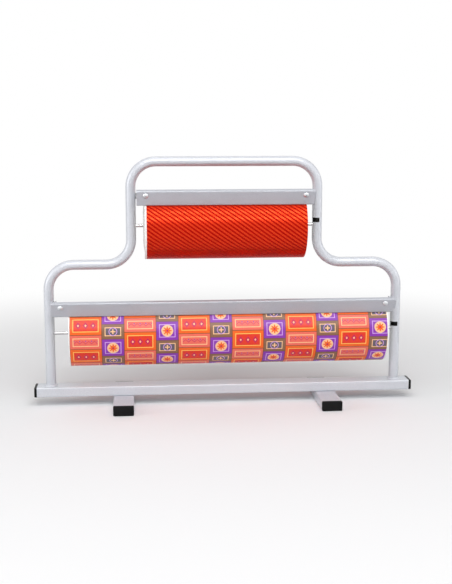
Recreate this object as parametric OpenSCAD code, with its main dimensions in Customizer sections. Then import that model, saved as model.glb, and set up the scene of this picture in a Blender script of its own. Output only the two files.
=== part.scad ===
// Two-tier counter stand for gift-wrap rolls, each roll with its own swinging cutter bar.
// X runs along the rolls, -Y is the side the paper is pulled from, Z is up from the counter.
// The origin is on the counter, midway between the legs, below the plane of the bent tube.

/* [Frame tube] */
// Outside diameter of the bent tube
tube_d = 19; // [17:0.5:22]
// Wall of the bent tube
tube_wall = 1.5; // [1:0.1:2]
// Centre-line radius of every bend
bend_r = 48; // [40:1:60]
// Clear width left beside the lower paper, at each end
lower_side_room = 23; // [21:0.5:40]
// Clear width left beside the upper paper, at each end
upper_side_room = 17; // [16:0.5:35]
// Height of the lower rod above the rail
lower_rod_rise = 103.3; // [90:0.1:130]
// Height of the shoulder tubes' top above the lower rod
shoulder_rise = 141.7; // [140:0.1:180]
// Height of the upper rod above the shoulder tubes' top
upper_rod_rise = 64.7; // [62:0.1:100]
// Height of the frame's top above the upper rod
top_rise = 130.8; // [130:0.1:160]
// Leg of the weld fillet round each foot of the tube
weld_leg = 2.5; // [1.5:0.5:4]

/* [Box-section base] */
// Width of the box section, laid flat
box_w = 39; // [30:1:50]
// Height of the box section
box_h = 19; // [16:1:25]
// Wall of the box section
box_wall = 1.5; // [1:0.1:2]
// Outside corner radius of the box section
box_corner = 2.4; // [1.8:0.1:3]
// Length of rail that stands out beyond each foot of the tube, without its cap
rail_overhang = 17; // [12:0.5:40]
// Cut length of a leg, without its caps
leg_len = 180; // [150:2:240]
// Distance between the legs' centre lines
leg_pitch = 395; // [300:5:500]
// Thickness of a cap's flange
cap_flange = 5; // [2.5:0.5:6]
// Depth to which a cap's plug reaches into the section
cap_plug = 14; // [10:1:20]
// Wall of a cap's hollow plug
cap_wall = 1.8; // [1.2:0.1:2.5]
// Diameter of a leg screw
leg_screw_d = 6; // [5:0.5:8]
// Distance between the two screws of one leg
leg_screw_pitch = 20; // [18:0.5:22]
// Length of a leg screw under its head
leg_screw_len = 12; // [9:1:14]

/* [Rods and rolls] */
// Diameter of a rod
rod_d = 6.5; // [5:0.5:8]
// Radial clearance of a rod in its seats, and where a roll hangs on it
rod_fit = 0.05; // [0.02:0.01:0.1]
// Width of the upper paper
upper_paper_w = 305; // [200:1:380]
// Width of the lower paper
lower_paper_w = 610; // [525:1:900]
// Diameter of the full upper roll
upper_roll_d = 124; // [90:1:130]
// Diameter of the full lower roll
lower_roll_d = 123; // [90:1:130]
// How far the upper roll sits to the left of the middle
upper_roll_shift = 0.7; // [0:0.1:2]
// How far the lower roll sits to the right of the middle
lower_roll_shift = 6.3; // [0:0.1:7]
// Inside diameter of the cardboard cores
core_bore_d = 38; // [30:1:50]
// Wall of the cardboard cores
core_wall = 3; // [2:0.5:5]
// Depth of a core plug
plug_depth = 24; // [15:1:40]
// Wall of a core plug
plug_wall = 2.5; // [2:0.5:4]
// Bore of the core plugs, which hang loose on the thin rods
plug_bore_d = 11.4; // [10:0.1:13]

/* [Rod slots in the right uprights] */
// Height of the level part of the slot
slot_h = 8.8; // [8:0.1:10]
// How far the level part lies above the rod's seat
slot_rise = 8.7; // [8:0.1:12]
// How far the level part reaches across the tube
slot_reach = 13; // [11:0.5:14]

/* [Cutter bars] */
// Height of the bar's face, from its cutting edge to the fold
bar_face = 31; // [26:1:34]
// Depth of the lip folded back along the top
bar_lip = 7; // [4:0.5:10]
// Thickness of the bar's sheet
bar_t = 1.2; // [0.8:0.1:2]
// Inside radius of the fold
bar_fold_r = 1; // [0.5:0.1:2]
// Height of the bevel ground on the cutting edge
bar_bevel = 1.4; // [0.8:0.1:2]
// Lean of the face out of the vertical, top edge forward
bar_tilt = 27; // [20:1:32]
// Angle above the horizontal at which the upper bar's edge lies on its roll
upper_rest_angle = 44.8; // [40:0.2:48]
// Angle above the horizontal at which the lower bar's edge lies on its roll
lower_rest_angle = 43; // [40:0.2:48]
// Gap between the cutting edge and the full roll
bar_gap = 0.3; // [0.2:0.1:1]
// How far the upper bar sits to the left of the middle
upper_bar_shift = 1.2; // [0:0.1:2]
// How far the lower bar sits to the left of the middle
lower_bar_shift = 4.4; // [0:0.1:5]

/* [Cutter arms] */
// Gap between each arm and its upright; a bar is as long as the distance over its arms
arm_gap = 2.7; // [2:0.1:4]
// Height of an arm's pivot above the middle of its roll
pivot_rise = 58.4; // [56:0.1:62]
// Diameter of the pivot screw's shank
pivot_d = 5; // [4:0.5:6]
// Radius of the round end of an arm
arm_boss_r = 7; // [6:0.5:9]
// Thickness of an arm's sheet
arm_t = 1.5; // [1:0.1:2.5]
// Length of the flange behind the bar
arm_flange = 30; // [28:1:34]
// Lowest and highest edge of the flange, measured up the bar's face
arm_low = 8; // [5:0.5:10]
arm_high = 27; // [24:0.5:28]
// Distance of each bolt from the end of the bar
bolt_inset = 17; // [14:0.5:19]
// Distance of each bolt below the fold
bolt_drop = 9; // [7.5:0.5:10]
// Diameter of the bolts through bar and arm
bolt_d = 5; // [4:0.5:6]

/* [Hidden] */
$fn = 96;

silver = [0.80, 0.81, 0.83];
bright_steel = [0.86, 0.87, 0.88];
black_plastic = [0.07, 0.07, 0.08];
white_plastic = [0.92, 0.91, 0.88];
core_brown = [0.66, 0.52, 0.38];
crimson_paper = [0.70, 0.12, 0.14];
orange_paper = [0.93, 0.55, 0.30];

over = 1;                                  // how far a cutter runs past the face it opens
small_gap = 0.05;                          // between pieces of one body that only just touch
side_play = 0.2;                           // each side of an arm, under the pivot screw's head
tube_r = tube_d / 2;
tube_bore_r = tube_r - tube_wall;
leg_top = box_h;
rail_top = 2 * box_h;
lower_inner_x = lower_paper_w / 2 + lower_side_room;
upper_inner_x = upper_paper_w / 2 + upper_side_room;
lower_axis_x = lower_inner_x + tube_r;
upper_axis_x = upper_inner_x + tube_r;
lower_rod_z = rail_top + lower_rod_rise;
shoulder_z = lower_rod_z + shoulder_rise - tube_r;
upper_rod_z = shoulder_z + tube_r + upper_rod_rise;
top_z = upper_rod_z + top_rise - tube_r;
rail_len = 2 * (lower_axis_x + tube_r + rail_overhang);
leg_x = leg_pitch / 2;
bore_w = box_w - 2 * box_wall;
bore_h = box_h - 2 * box_wall;
bore_corner = box_corner - box_wall;
cap_edge = 1;                              // chamfer round a cap's outer face
fin_t = 1.2;                               // thickness of a cap's gripping fins
fin_stand = 0.8;                           // how far the fins stand out of the plug
leg_hole_gap = 0.3;                        // round a leg screw, in the leg's upper wall
driver_gap = 1;                            // round a leg screw's head, in the leg's lower wall
screw_head_h = 0.55 * leg_screw_d;
screw_head_d = 2 * leg_screw_d;
collar_wall = 1.5;                         // wall of the collars drawn round tapped holes
collar_h = 4;
thread_gap = 0.05;

rod_r = rod_d / 2;
seat_r = rod_r + rod_fit;
plug_bore_r = plug_bore_d / 2;
roll_drop = plug_bore_r - seat_r;          // how far a roll hangs below its rod
upper_roll_z = upper_rod_z - roll_drop;
lower_roll_z = lower_rod_z - roll_drop;
rod_inset = 0.5;                           // each rod ends this far short of the tube's axis
rod_chamfer = 0.5;
slot_side = 0.2;                           // room on each side of a rod in the slot
upper_roll_r = upper_roll_d / 2;
lower_roll_r = lower_roll_d / 2;
core_r = core_bore_d / 2;
paper_bore_r = core_r + core_wall;

upper_bar_x = upper_inner_x - arm_gap;
lower_bar_x = lower_inner_x - arm_gap;
bolt_hole_gap = 0.15;
bolt_head_d = 2 * bolt_d;
bolt_head_h = 0.65 * bolt_d;
nut_flats = 1.6 * bolt_d;
nut_h = 0.8 * bolt_d;
pivot_head_d = 1.9 * pivot_d;
pivot_head_h = 0.6 * pivot_d;
pivot_fit = 0.05;
spacer_d = 2.2 * pivot_d;

// ---------------------------------------------------------------- shared shapes

// Draws 2D shapes in the Y-Z plane and gives them a thickness along +X.
module along_x(length) {
    rotate([90, 0, 90])
        linear_extrude(length)
            children();
}

// A cylinder that lies along X from x_low to x_high.
module x_cylinder(r, x_low, x_high) {
    translate([x_low, 0, 0])
        rotate([0, 90, 0])
            cylinder(r = r, h = x_high - x_low);
}

module rounded_rect(w, h, r) {
    square([w - 2 * r, h], center = true);
    square([w, h - 2 * r], center = true);
    for (x = [-1, 1], y = [-1, 1])
        translate([x * (w / 2 - r), y * (h / 2 - r)])
            circle(r);
}

// Repeats a piece on the left and mirrored on the right.
module both_sides() {
    children();
    mirror([1, 0, 0])
        children();
}

// Low round screw head, its flat underside on the origin and its crown towards +Z.
module screw_head(d, h) {
    dome_r = (d * d / 4 + h * h) / (2 * h);
    intersection() {
        translate([0, 0, h - dome_r])
            sphere(r = dome_r);
        cylinder(d = d, h = h + over);
        translate([0, 0, h / 2])
            cube([d + over, d + over, h], center = true);
    }
}

// ---------------------------------------------------------------- bent frame tube

module ring() {
    difference() {
        circle(tube_r);
        circle(tube_bore_r);
    }
}

// Straight length standing on z_low.
module upright(x, z_low, z_high) {
    translate([x, 0, z_low])
        linear_extrude(z_high - z_low)
            ring();
}

// Quarter bend about the point (x, z), starting from the angle given.
module bend(x, z, start) {
    translate([x, 0, z])
        rotate([90, 0, 0])
            rotate([0, 0, start])
                rotate_extrude(angle = 90)
                    translate([bend_r, 0])
                        ring();
}

// Level length from x_low to x_high.
module level(z, x_low, x_high) {
    translate([x_low, 0, z])
        rotate([0, 90, 0])
            linear_extrude(x_high - x_low)
                ring();
}

module half_tube() {
    upright(lower_axis_x, rail_top, shoulder_z - bend_r);
    bend(lower_axis_x - bend_r, shoulder_z - bend_r, 0);
    level(shoulder_z, upper_axis_x + bend_r, lower_axis_x - bend_r);
    bend(upper_axis_x + bend_r, shoulder_z + bend_r, 180);
    upright(upper_axis_x, shoulder_z + bend_r, top_z - bend_r);
    bend(upper_axis_x - bend_r, top_z - bend_r, 0);
}

// Fillet weld where a foot of the tube stands on the rail.
module foot_weld() {
    translate([lower_axis_x, 0, rail_top])
        rotate_extrude()
            polygon([
                [tube_r - tube_wall / 2, 0],
                [tube_r + weld_leg, 0],
                [tube_r, weld_leg],
                [tube_r - tube_wall / 2, weld_leg]
            ]);
}

// Collar drawn inwards round the tapped hole of a pivot screw.
module pivot_collar(axis_x, z) {
    translate([axis_x - tube_bore_r - tube_wall / 2, 0, z])
        x_cylinder(pivot_d / 2 + thread_gap + collar_wall, 0, collar_h + tube_wall / 2);
}

module pivot_hole(axis_x, z) {
    translate([axis_x, 0, z])
        x_cylinder(pivot_d / 2 + thread_gap, -tube_r - over, 0);
}

// Round seat for the left end of a rod, through the inner wall only.
module rod_hole(axis_x, z) {
    translate([-axis_x, 0, z])
        x_cylinder(seat_r, 0, tube_r + over);
}

// Seat and L-shaped way in for the right end of a rod.
module rod_slot(axis_x, z) {
    inner_x = axis_x - tube_r;
    drop_x = axis_x - tube_bore_r + over;
    back_y = rod_r + slot_side;
    translate([0, 0, z])
        x_cylinder(seat_r, inner_x - over, drop_x);
    translate([inner_x - over, -back_y, z])
        cube([drop_x - inner_x + over, 2 * back_y, slot_rise]);
    translate([inner_x - over, -tube_r - over, z + slot_rise - slot_h / 2])
        cube([slot_reach + over, tube_r + over + back_y, slot_h]);
}

module frame_tube() {
    color(silver)
        difference() {
            union() {
                both_sides()
                    half_tube();
                level(top_z, bend_r - upper_axis_x, upper_axis_x - bend_r);
                both_sides()
                    foot_weld();
                both_sides()
                    pivot_collar(upper_axis_x, upper_roll_z + pivot_rise);
                both_sides()
                    pivot_collar(lower_axis_x, lower_roll_z + pivot_rise);
            }
            both_sides()
                pivot_hole(upper_axis_x, upper_roll_z + pivot_rise);
            both_sides()
                pivot_hole(lower_axis_x, lower_roll_z + pivot_rise);
            rod_hole(upper_axis_x, upper_rod_z);
            rod_hole(lower_axis_x, lower_rod_z);
            rod_slot(upper_axis_x, upper_rod_z);
            rod_slot(lower_axis_x, lower_rod_z);
        }
}

// ---------------------------------------------------------------- base rail, legs and caps

// Box section lying along X, centred on its own middle.
module box_section(length) {
    translate([-length / 2, 0, 0])
        along_x(length)
            difference() {
                rounded_rect(box_w, box_h, box_corner);
                rounded_rect(bore_w, bore_h, bore_corner);
            }
}

// Puts its children at the four leg screws.
module at_leg_screws(side) {
    for (y = [-1, 1])
        translate([side * leg_x, y * leg_screw_pitch / 2, leg_top])
            children();
}

module base_rail() {
    color(silver)
        difference() {
            union() {
                translate([0, 0, leg_top + box_h / 2])
                    box_section(rail_len);
                for (side = [-1, 1])
                    at_leg_screws(side)
                        translate([0, 0, box_wall / 2])
                            cylinder(r = leg_screw_d / 2 + thread_gap + collar_wall, h = box_wall / 2 + collar_h);
            }
            for (side = [-1, 1])
                at_leg_screws(side)
                    translate([0, 0, -over])
                        cylinder(r = leg_screw_d / 2 + thread_gap, h = box_wall + collar_h + 2 * over);
        }
}

module leg(side) {
    color(silver)
        difference() {
            translate([side * leg_x, 0, box_h / 2])
                rotate([0, 0, 90])
                    box_section(leg_len);
            at_leg_screws(side) {
                translate([0, 0, -box_h / 2])
                    cylinder(r = leg_screw_d / 2 + leg_hole_gap, h = box_h);
                translate([0, 0, -box_h - over])
                    cylinder(r = screw_head_d / 2 + driver_gap, h = box_h / 2);
            }
        }
}

module left_leg() {
    leg(-1);
}

module right_leg() {
    leg(1);
}

// Pan-head screws, put in from below through the legs into the rail.
module leg_screws(side) {
    color(bright_steel)
        at_leg_screws(side) {
            translate([0, 0, -box_wall])
                cylinder(d = leg_screw_d, h = leg_screw_len);
            translate([0, 0, -box_wall])
                mirror([0, 0, 1])
                    screw_head(screw_head_d, screw_head_h);
        }
}

module left_leg_screws() {
    leg_screws(-1);
}

module right_leg_screws() {
    leg_screws(1);
}

// End cap for a box section: the flange stands out along +X and the plug reaches back.
module end_cap() {
    color(black_plastic) {
        intersection() {
            along_x(cap_flange)
                rounded_rect(box_w, box_h, box_corner);
            translate([0, 0, -box_h])
                linear_extrude(2 * box_h)
                    chamfered_edge(box_w);
            rotate([90, 0, 0])
                translate([0, 0, -box_w])
                    linear_extrude(2 * box_w)
                        chamfered_edge(box_h);
        }
        difference() {
            union() {
                translate([-cap_plug, 0, 0])
                    along_x(cap_plug + over)
                        rounded_rect(bore_w - 2 * fin_stand, bore_h - 2 * fin_stand, bore_corner);
                for (i = [1:3])
                    translate([-i * cap_plug / 3.5, 0, 0])
                        along_x(fin_t)
                            rounded_rect(bore_w - 2 * small_gap, bore_h - 2 * small_gap, bore_corner);
            }
            translate([-cap_plug - over, 0, 0])
                along_x(cap_plug + over)
                    square([bore_w - 2 * (fin_stand + cap_wall), bore_h - 2 * (fin_stand + cap_wall)], center = true);
        }
    }
}

// Outline of a flange seen from the side, its outer corners cut off.
module chamfered_edge(width) {
    polygon([
        [-over, -width],
        [-over, width],
        [0, width / 2],
        [cap_flange - cap_edge, width / 2],
        [cap_flange, width / 2 - cap_edge],
        [cap_flange, cap_edge - width / 2],
        [cap_flange - cap_edge, -width / 2],
        [0, -width / 2]
    ]);
}

module rail_cap_right() {
    translate([rail_len / 2, 0, leg_top + box_h / 2])
        end_cap();
}

module rail_cap_left() {
    mirror([1, 0, 0])
        rail_cap_right();
}

// Cap of a leg: side picks the leg, and turn is 90 for the back end and -90 for the front end.
module leg_cap(side, turn) {
    translate([side * leg_x, 0, box_h / 2])
        rotate([0, 0, turn])
            translate([leg_len / 2, 0, 0])
                end_cap();
}

module left_leg_front_cap() {
    leg_cap(-1, -90);
}

module left_leg_rear_cap() {
    leg_cap(-1, 90);
}

module right_leg_front_cap() {
    leg_cap(1, -90);
}

module right_leg_rear_cap() {
    leg_cap(1, 90);
}

// ---------------------------------------------------------------- cutter bars and their arms

// Places children on a bar whose edge lies, at the angle rest, on a roll of radius roll_r
// round the origin: +Z runs up the face and +Y goes from the face into the sheet.
module on_bar(roll_r, rest) {
    reach = roll_r + bar_gap;
    translate([0, -reach * cos(rest), reach * sin(rest)])
        rotate([bar_tilt, 0, 0])
            translate([0, -bar_t, 0])
                children();
}

// Section of the bar: ground edge, face, fold and lip.
module bar_section() {
    fold_out = bar_fold_r + bar_t;
    polygon([
        [0, bar_bevel],
        [bar_t, 0],
        [bar_t, bar_face - fold_out],
        [0, bar_face - fold_out]
    ]);
    translate([fold_out, bar_face - bar_t])
        square([bar_lip - fold_out, bar_t]);
    intersection() {
        translate([fold_out, bar_face - fold_out])
            difference() {
                circle(fold_out);
                circle(bar_fold_r);
            }
        translate([0, bar_face - fold_out])
            square(fold_out);
    }
}

// Puts its children on a bar's right-hand bolt, +Z pointing out of the face.
module at_bolt(bar_half, roll_r, rest) {
    on_bar(roll_r, rest)
        translate([bar_half - bolt_inset, 0, bar_face - bolt_drop])
            rotate([90, 0, 0])
                children();
}

// Repeats its children at both bolts of a bar that sits shift to the left of the middle.
module at_bolts(bar_half, roll_r, rest, shift) {
    translate([-shift, 0, 0])
        both_sides()
            at_bolt(bar_half, roll_r, rest)
                children();
}

module cutter_bar(bar_half, roll_r, rest, shift) {
    color(silver)
        difference() {
            on_bar(roll_r, rest)
                translate([-bar_half - shift, 0, 0])
                    along_x(2 * bar_half)
                        bar_section();
            at_bolts(bar_half, roll_r, rest, shift)
                cylinder(r = bolt_d / 2 + bolt_hole_gap, h = 4 * bar_t, center = true);
        }
}

// Outline of an arm's side plate: from its round end at the pivot out to the bar's back.
module arm_outline(roll_r, rest) {
    reach = roll_r + bar_gap;
    tip = [-reach * cos(rest), reach * sin(rest)];
    up = [-sin(bar_tilt), cos(bar_tilt)];
    low = tip + arm_low * up;
    high = tip + arm_high * up;
    pivot = [0, pivot_rise];
    waist = 0.85 * arm_boss_r * up;
    polygon([low, high, pivot + waist, pivot - waist]);
    translate(pivot)
        circle(arm_boss_r);
}

// Right-hand arm: side plate on the pivot, flange behind the bar, which sits shift to the left.
module arm(bar_half, roll_r, rest, shift) {
    color(silver)
        difference() {
            union() {
                translate([bar_half - arm_t, 0, 0])
                    along_x(arm_t)
                        arm_outline(roll_r, rest);
                on_bar(roll_r, rest)
                    translate([bar_half - arm_flange, bar_t, arm_low])
                        cube([arm_flange, arm_t, arm_high - arm_low]);
            }
            translate([0, 0, pivot_rise])
                x_cylinder(pivot_d / 2 + pivot_fit, bar_half - 2 * arm_t, bar_half + arm_t);
            at_bolts(bar_half, roll_r, rest, shift)
                cylinder(r = bolt_d / 2 + bolt_hole_gap, h = 4 * (bar_t + arm_t), center = true);
        }
}

// Bolts with low round heads on the face, long enough to fill their nuts.
module bar_bolts(bar_half, roll_r, rest, shift) {
    color(bright_steel)
        at_bolts(bar_half, roll_r, rest, shift) {
            screw_head(bolt_head_d, bolt_head_h);
            translate([0, 0, -bar_t - arm_t - nut_h - over])
                cylinder(d = bolt_d, h = bar_t + arm_t + nut_h + over);
        }
}

module bar_nuts(bar_half, roll_r, rest, shift) {
    color(bright_steel)
        at_bolts(bar_half, roll_r, rest, shift)
            translate([0, 0, -bar_t - arm_t - nut_h])
                difference() {
                    cylinder(d = nut_flats / cos(30), h = nut_h, $fn = 6);
                    translate([0, 0, -over])
                        cylinder(r = bolt_d / 2 + thread_gap, h = nut_h + 2 * over);
                }
}

// Shouldered screws, put in from between the arms and tapped into the uprights.
module pivot_screws(bar_half) {
    head_x = bar_half - arm_t - side_play;
    color(bright_steel)
        both_sides()
            translate([0, 0, pivot_rise]) {
                x_cylinder(pivot_d / 2, head_x, bar_half + arm_gap + tube_wall + collar_h);
                translate([head_x, 0, 0])
                    rotate([0, -90, 0])
                        screw_head(pivot_head_d, pivot_head_h);
            }
}

module pivot_spacers(bar_half) {
    color(white_plastic)
        both_sides()
            translate([0, 0, pivot_rise])
                difference() {
                    x_cylinder(spacer_d / 2, bar_half + side_play, bar_half + arm_gap - small_gap);
                    x_cylinder(pivot_d / 2 + thread_gap, bar_half - over, bar_half + arm_gap + over);
                }
}

// Puts its children round the middle of the upper roll.
module upper_tier() {
    translate([0, 0, upper_roll_z])
        children();
}

// Puts its children round the middle of the lower roll.
module lower_tier() {
    translate([0, 0, lower_roll_z])
        children();
}

module upper_cutter_bar() {
    upper_tier()
        cutter_bar(upper_bar_x, upper_roll_r, upper_rest_angle, upper_bar_shift);
}

module lower_cutter_bar() {
    lower_tier()
        cutter_bar(lower_bar_x, lower_roll_r, lower_rest_angle, lower_bar_shift);
}

module upper_right_arm() {
    upper_tier()
        arm(upper_bar_x, upper_roll_r, upper_rest_angle, upper_bar_shift);
}

module upper_left_arm() {
    mirror([1, 0, 0])
        upper_tier()
            arm(upper_bar_x, upper_roll_r, upper_rest_angle, -upper_bar_shift);
}

module lower_right_arm() {
    lower_tier()
        arm(lower_bar_x, lower_roll_r, lower_rest_angle, lower_bar_shift);
}

module lower_left_arm() {
    mirror([1, 0, 0])
        lower_tier()
            arm(lower_bar_x, lower_roll_r, lower_rest_angle, -lower_bar_shift);
}

module upper_bar_bolts() {
    upper_tier()
        bar_bolts(upper_bar_x, upper_roll_r, upper_rest_angle, upper_bar_shift);
}

module lower_bar_bolts() {
    lower_tier()
        bar_bolts(lower_bar_x, lower_roll_r, lower_rest_angle, lower_bar_shift);
}

module upper_bar_nuts() {
    upper_tier()
        bar_nuts(upper_bar_x, upper_roll_r, upper_rest_angle, upper_bar_shift);
}

module lower_bar_nuts() {
    lower_tier()
        bar_nuts(lower_bar_x, lower_roll_r, lower_rest_angle, lower_bar_shift);
}

module upper_pivot_screws() {
    upper_tier()
        pivot_screws(upper_bar_x);
}

module lower_pivot_screws() {
    lower_tier()
        pivot_screws(lower_bar_x);
}

module upper_pivot_spacers() {
    upper_tier()
        pivot_spacers(upper_bar_x);
}

module lower_pivot_spacers() {
    lower_tier()
        pivot_spacers(lower_bar_x);
}

// ---------------------------------------------------------------- rods, cores, plugs and paper

module rod(axis_x) {
    end_x = axis_x - rod_inset;
    color(bright_steel) {
        x_cylinder(rod_r, rod_chamfer - end_x, end_x - rod_chamfer);
        both_sides()
            translate([end_x - rod_chamfer, 0, 0])
                rotate([0, 90, 0])
                    cylinder(r1 = rod_r, r2 = rod_r - rod_chamfer, h = rod_chamfer);
    }
}

module core(width) {
    color(core_brown)
        difference() {
            x_cylinder(paper_bore_r - small_gap, -width / 2, width / 2);
            x_cylinder(core_r, -width / 2 - over, width / 2 + over);
        }
}

// Plug flush with the core's right end: a cup whose floor and long hub hang on the rod.
module plug(width) {
    end_x = width / 2;
    hub_r = plug_bore_r + plug_wall;
    color(white_plastic)
        difference() {
            union() {
                difference() {
                    x_cylinder(core_r - small_gap, end_x - plug_depth, end_x);
                    x_cylinder(core_r - plug_wall, end_x - plug_depth - over, end_x - plug_wall);
                }
                x_cylinder(hub_r, end_x - plug_depth, end_x);
            }
            x_cylinder(plug_bore_r, end_x - plug_depth - over, end_x + over);
        }
}

module paper(color_of_print, width, r) {
    color(color_of_print)
        difference() {
            x_cylinder(r, -width / 2, width / 2);
            x_cylinder(paper_bore_r, -width / 2 - over, width / 2 + over);
        }
}

module upper_rod() {
    translate([0, 0, upper_rod_z])
        rod(upper_axis_x);
}

// Puts its children where the upper roll is along its rod.
module at_upper_roll() {
    translate([-upper_roll_shift, 0, 0])
        upper_tier()
            children();
}

// Puts its children where the lower roll is along its rod.
module at_lower_roll() {
    translate([lower_roll_shift, 0, 0])
        lower_tier()
            children();
}

module upper_core() {
    at_upper_roll()
        core(upper_paper_w);
}

module upper_right_plug() {
    at_upper_roll()
        plug(upper_paper_w);
}

module upper_left_plug() {
    at_upper_roll()
        mirror([1, 0, 0])
            plug(upper_paper_w);
}

module upper_paper() {
    at_upper_roll()
        paper(crimson_paper, upper_paper_w, upper_roll_r);
}

module lower_rod() {
    translate([0, 0, lower_rod_z])
        rod(lower_axis_x);
}

module lower_core() {
    at_lower_roll()
        core(lower_paper_w);
}

module lower_right_plug() {
    at_lower_roll()
        plug(lower_paper_w);
}

module lower_left_plug() {
    at_lower_roll()
        mirror([1, 0, 0])
            plug(lower_paper_w);
}

module lower_paper() {
    at_lower_roll()
        paper(orange_paper, lower_paper_w, lower_roll_r);
}

// ---------------------------------------------------------------- nodes

frame_tube();
base_rail();
rail_cap_left();
rail_cap_right();
left_leg();
right_leg();
left_leg_front_cap();
left_leg_rear_cap();
right_leg_front_cap();
right_leg_rear_cap();
left_leg_screws();
right_leg_screws();
upper_pivot_screws();
lower_pivot_screws();
upper_pivot_spacers();
lower_pivot_spacers();
upper_cutter_bar();
upper_left_arm();
upper_right_arm();
upper_bar_bolts();
upper_bar_nuts();
lower_cutter_bar();
lower_left_arm();
lower_right_arm();
lower_bar_bolts();
lower_bar_nuts();
upper_rod();
upper_core();
upper_left_plug();
upper_right_plug();
upper_paper();
lower_rod();
lower_core();
lower_left_plug();
lower_right_plug();
lower_paper();
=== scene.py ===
import math
import random

import bmesh
import bpy
from mathutils import Matrix, Vector, noise


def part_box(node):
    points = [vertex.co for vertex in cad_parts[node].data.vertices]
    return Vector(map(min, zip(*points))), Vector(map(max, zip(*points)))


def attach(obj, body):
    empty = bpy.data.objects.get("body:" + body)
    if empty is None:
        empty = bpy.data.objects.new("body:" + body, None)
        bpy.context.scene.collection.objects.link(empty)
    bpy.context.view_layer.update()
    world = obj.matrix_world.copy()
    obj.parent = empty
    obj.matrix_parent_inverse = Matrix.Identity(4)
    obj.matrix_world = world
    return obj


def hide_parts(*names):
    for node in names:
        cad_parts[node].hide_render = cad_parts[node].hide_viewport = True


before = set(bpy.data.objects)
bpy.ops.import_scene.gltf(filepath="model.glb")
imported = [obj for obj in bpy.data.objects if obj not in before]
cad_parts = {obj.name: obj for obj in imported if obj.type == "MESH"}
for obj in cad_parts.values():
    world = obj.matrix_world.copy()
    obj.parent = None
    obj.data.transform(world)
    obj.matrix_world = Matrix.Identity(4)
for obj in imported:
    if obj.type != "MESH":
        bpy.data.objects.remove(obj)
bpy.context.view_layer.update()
scene = bpy.context.scene


# ==== Camera ====
# It stands two metres in front of the stand and a little to the left,
# and looks slightly down on it through a long portrait lens.
camera_place = (-0.1705, -1.99806, 0.55457)
camera_yaw = math.radians(4.955)
camera_dip = math.radians(9.560)
camera_lens = 64.62

camera_data = bpy.data.cameras.new("camera")
camera_data.lens = camera_lens
camera_data.sensor_width = 36
camera_data.clip_start = 0.05
camera_data.clip_end = 60
camera = bpy.data.objects.new("camera", camera_data)
camera.location = camera_place
camera.rotation_euler = (math.pi / 2 - camera_dip, 0, -camera_yaw)
scene.collection.objects.link(camera)
scene.camera = camera
scene.view_settings.view_transform = "Standard"


# ==== Lamps ====
# Soft boxes: a weak one over the stand and behind it, one high in front of it, one lower and
# further forward that the papers mirror as a band, and one on each side for the uprights' rims.
lamp_aim = Vector((0, 0, 0.25))
lamps = [
    ("overhead_lamp", (0.0, 0.55, 2.2), (2.6, 0.6), 4),
    ("high_front_lamp", (0.0, -1.5, 2.5), (2.6, 0.4), 25),
    ("front_lamp", (0.1, -2.6, 2.0), (2.4, 0.4), 31),
    ("left_lamp", (-2.4, -0.9, 0.9), (0.8, 1.6), 17),
    ("right_lamp", (2.4, -0.9, 0.9), (0.8, 1.6), 9),
]
for lamp_name, lamp_place, lamp_size, lamp_power in lamps:
    lamp_data = bpy.data.lights.new(lamp_name, "AREA")
    lamp_data.shape = "RECTANGLE"
    lamp_data.size, lamp_data.size_y = lamp_size
    lamp_data.energy = lamp_power
    lamp = bpy.data.objects.new(lamp_name, lamp_data)
    lamp.location = lamp_place
    lamp.rotation_euler = (lamp_aim - Vector(lamp_place)).to_track_quat("-Z", "Y").to_euler()
    scene.collection.objects.link(lamp)


# ==== Floor and surroundings ====
# A wide pale floor that fades to white away from the stand, in a white room.
# The room looks white behind the stand and in its gloss, but it lights the stand more dimly.
floor_z = -0.0003
floor_radius = 14.0
floor_sides = 96
floor_colour = (0.93, 0.93, 0.94, 1)
fade_start = 0.40
fade_end = 1.5
room_light = 0.32
white = (1, 1, 1, 1)


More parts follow.
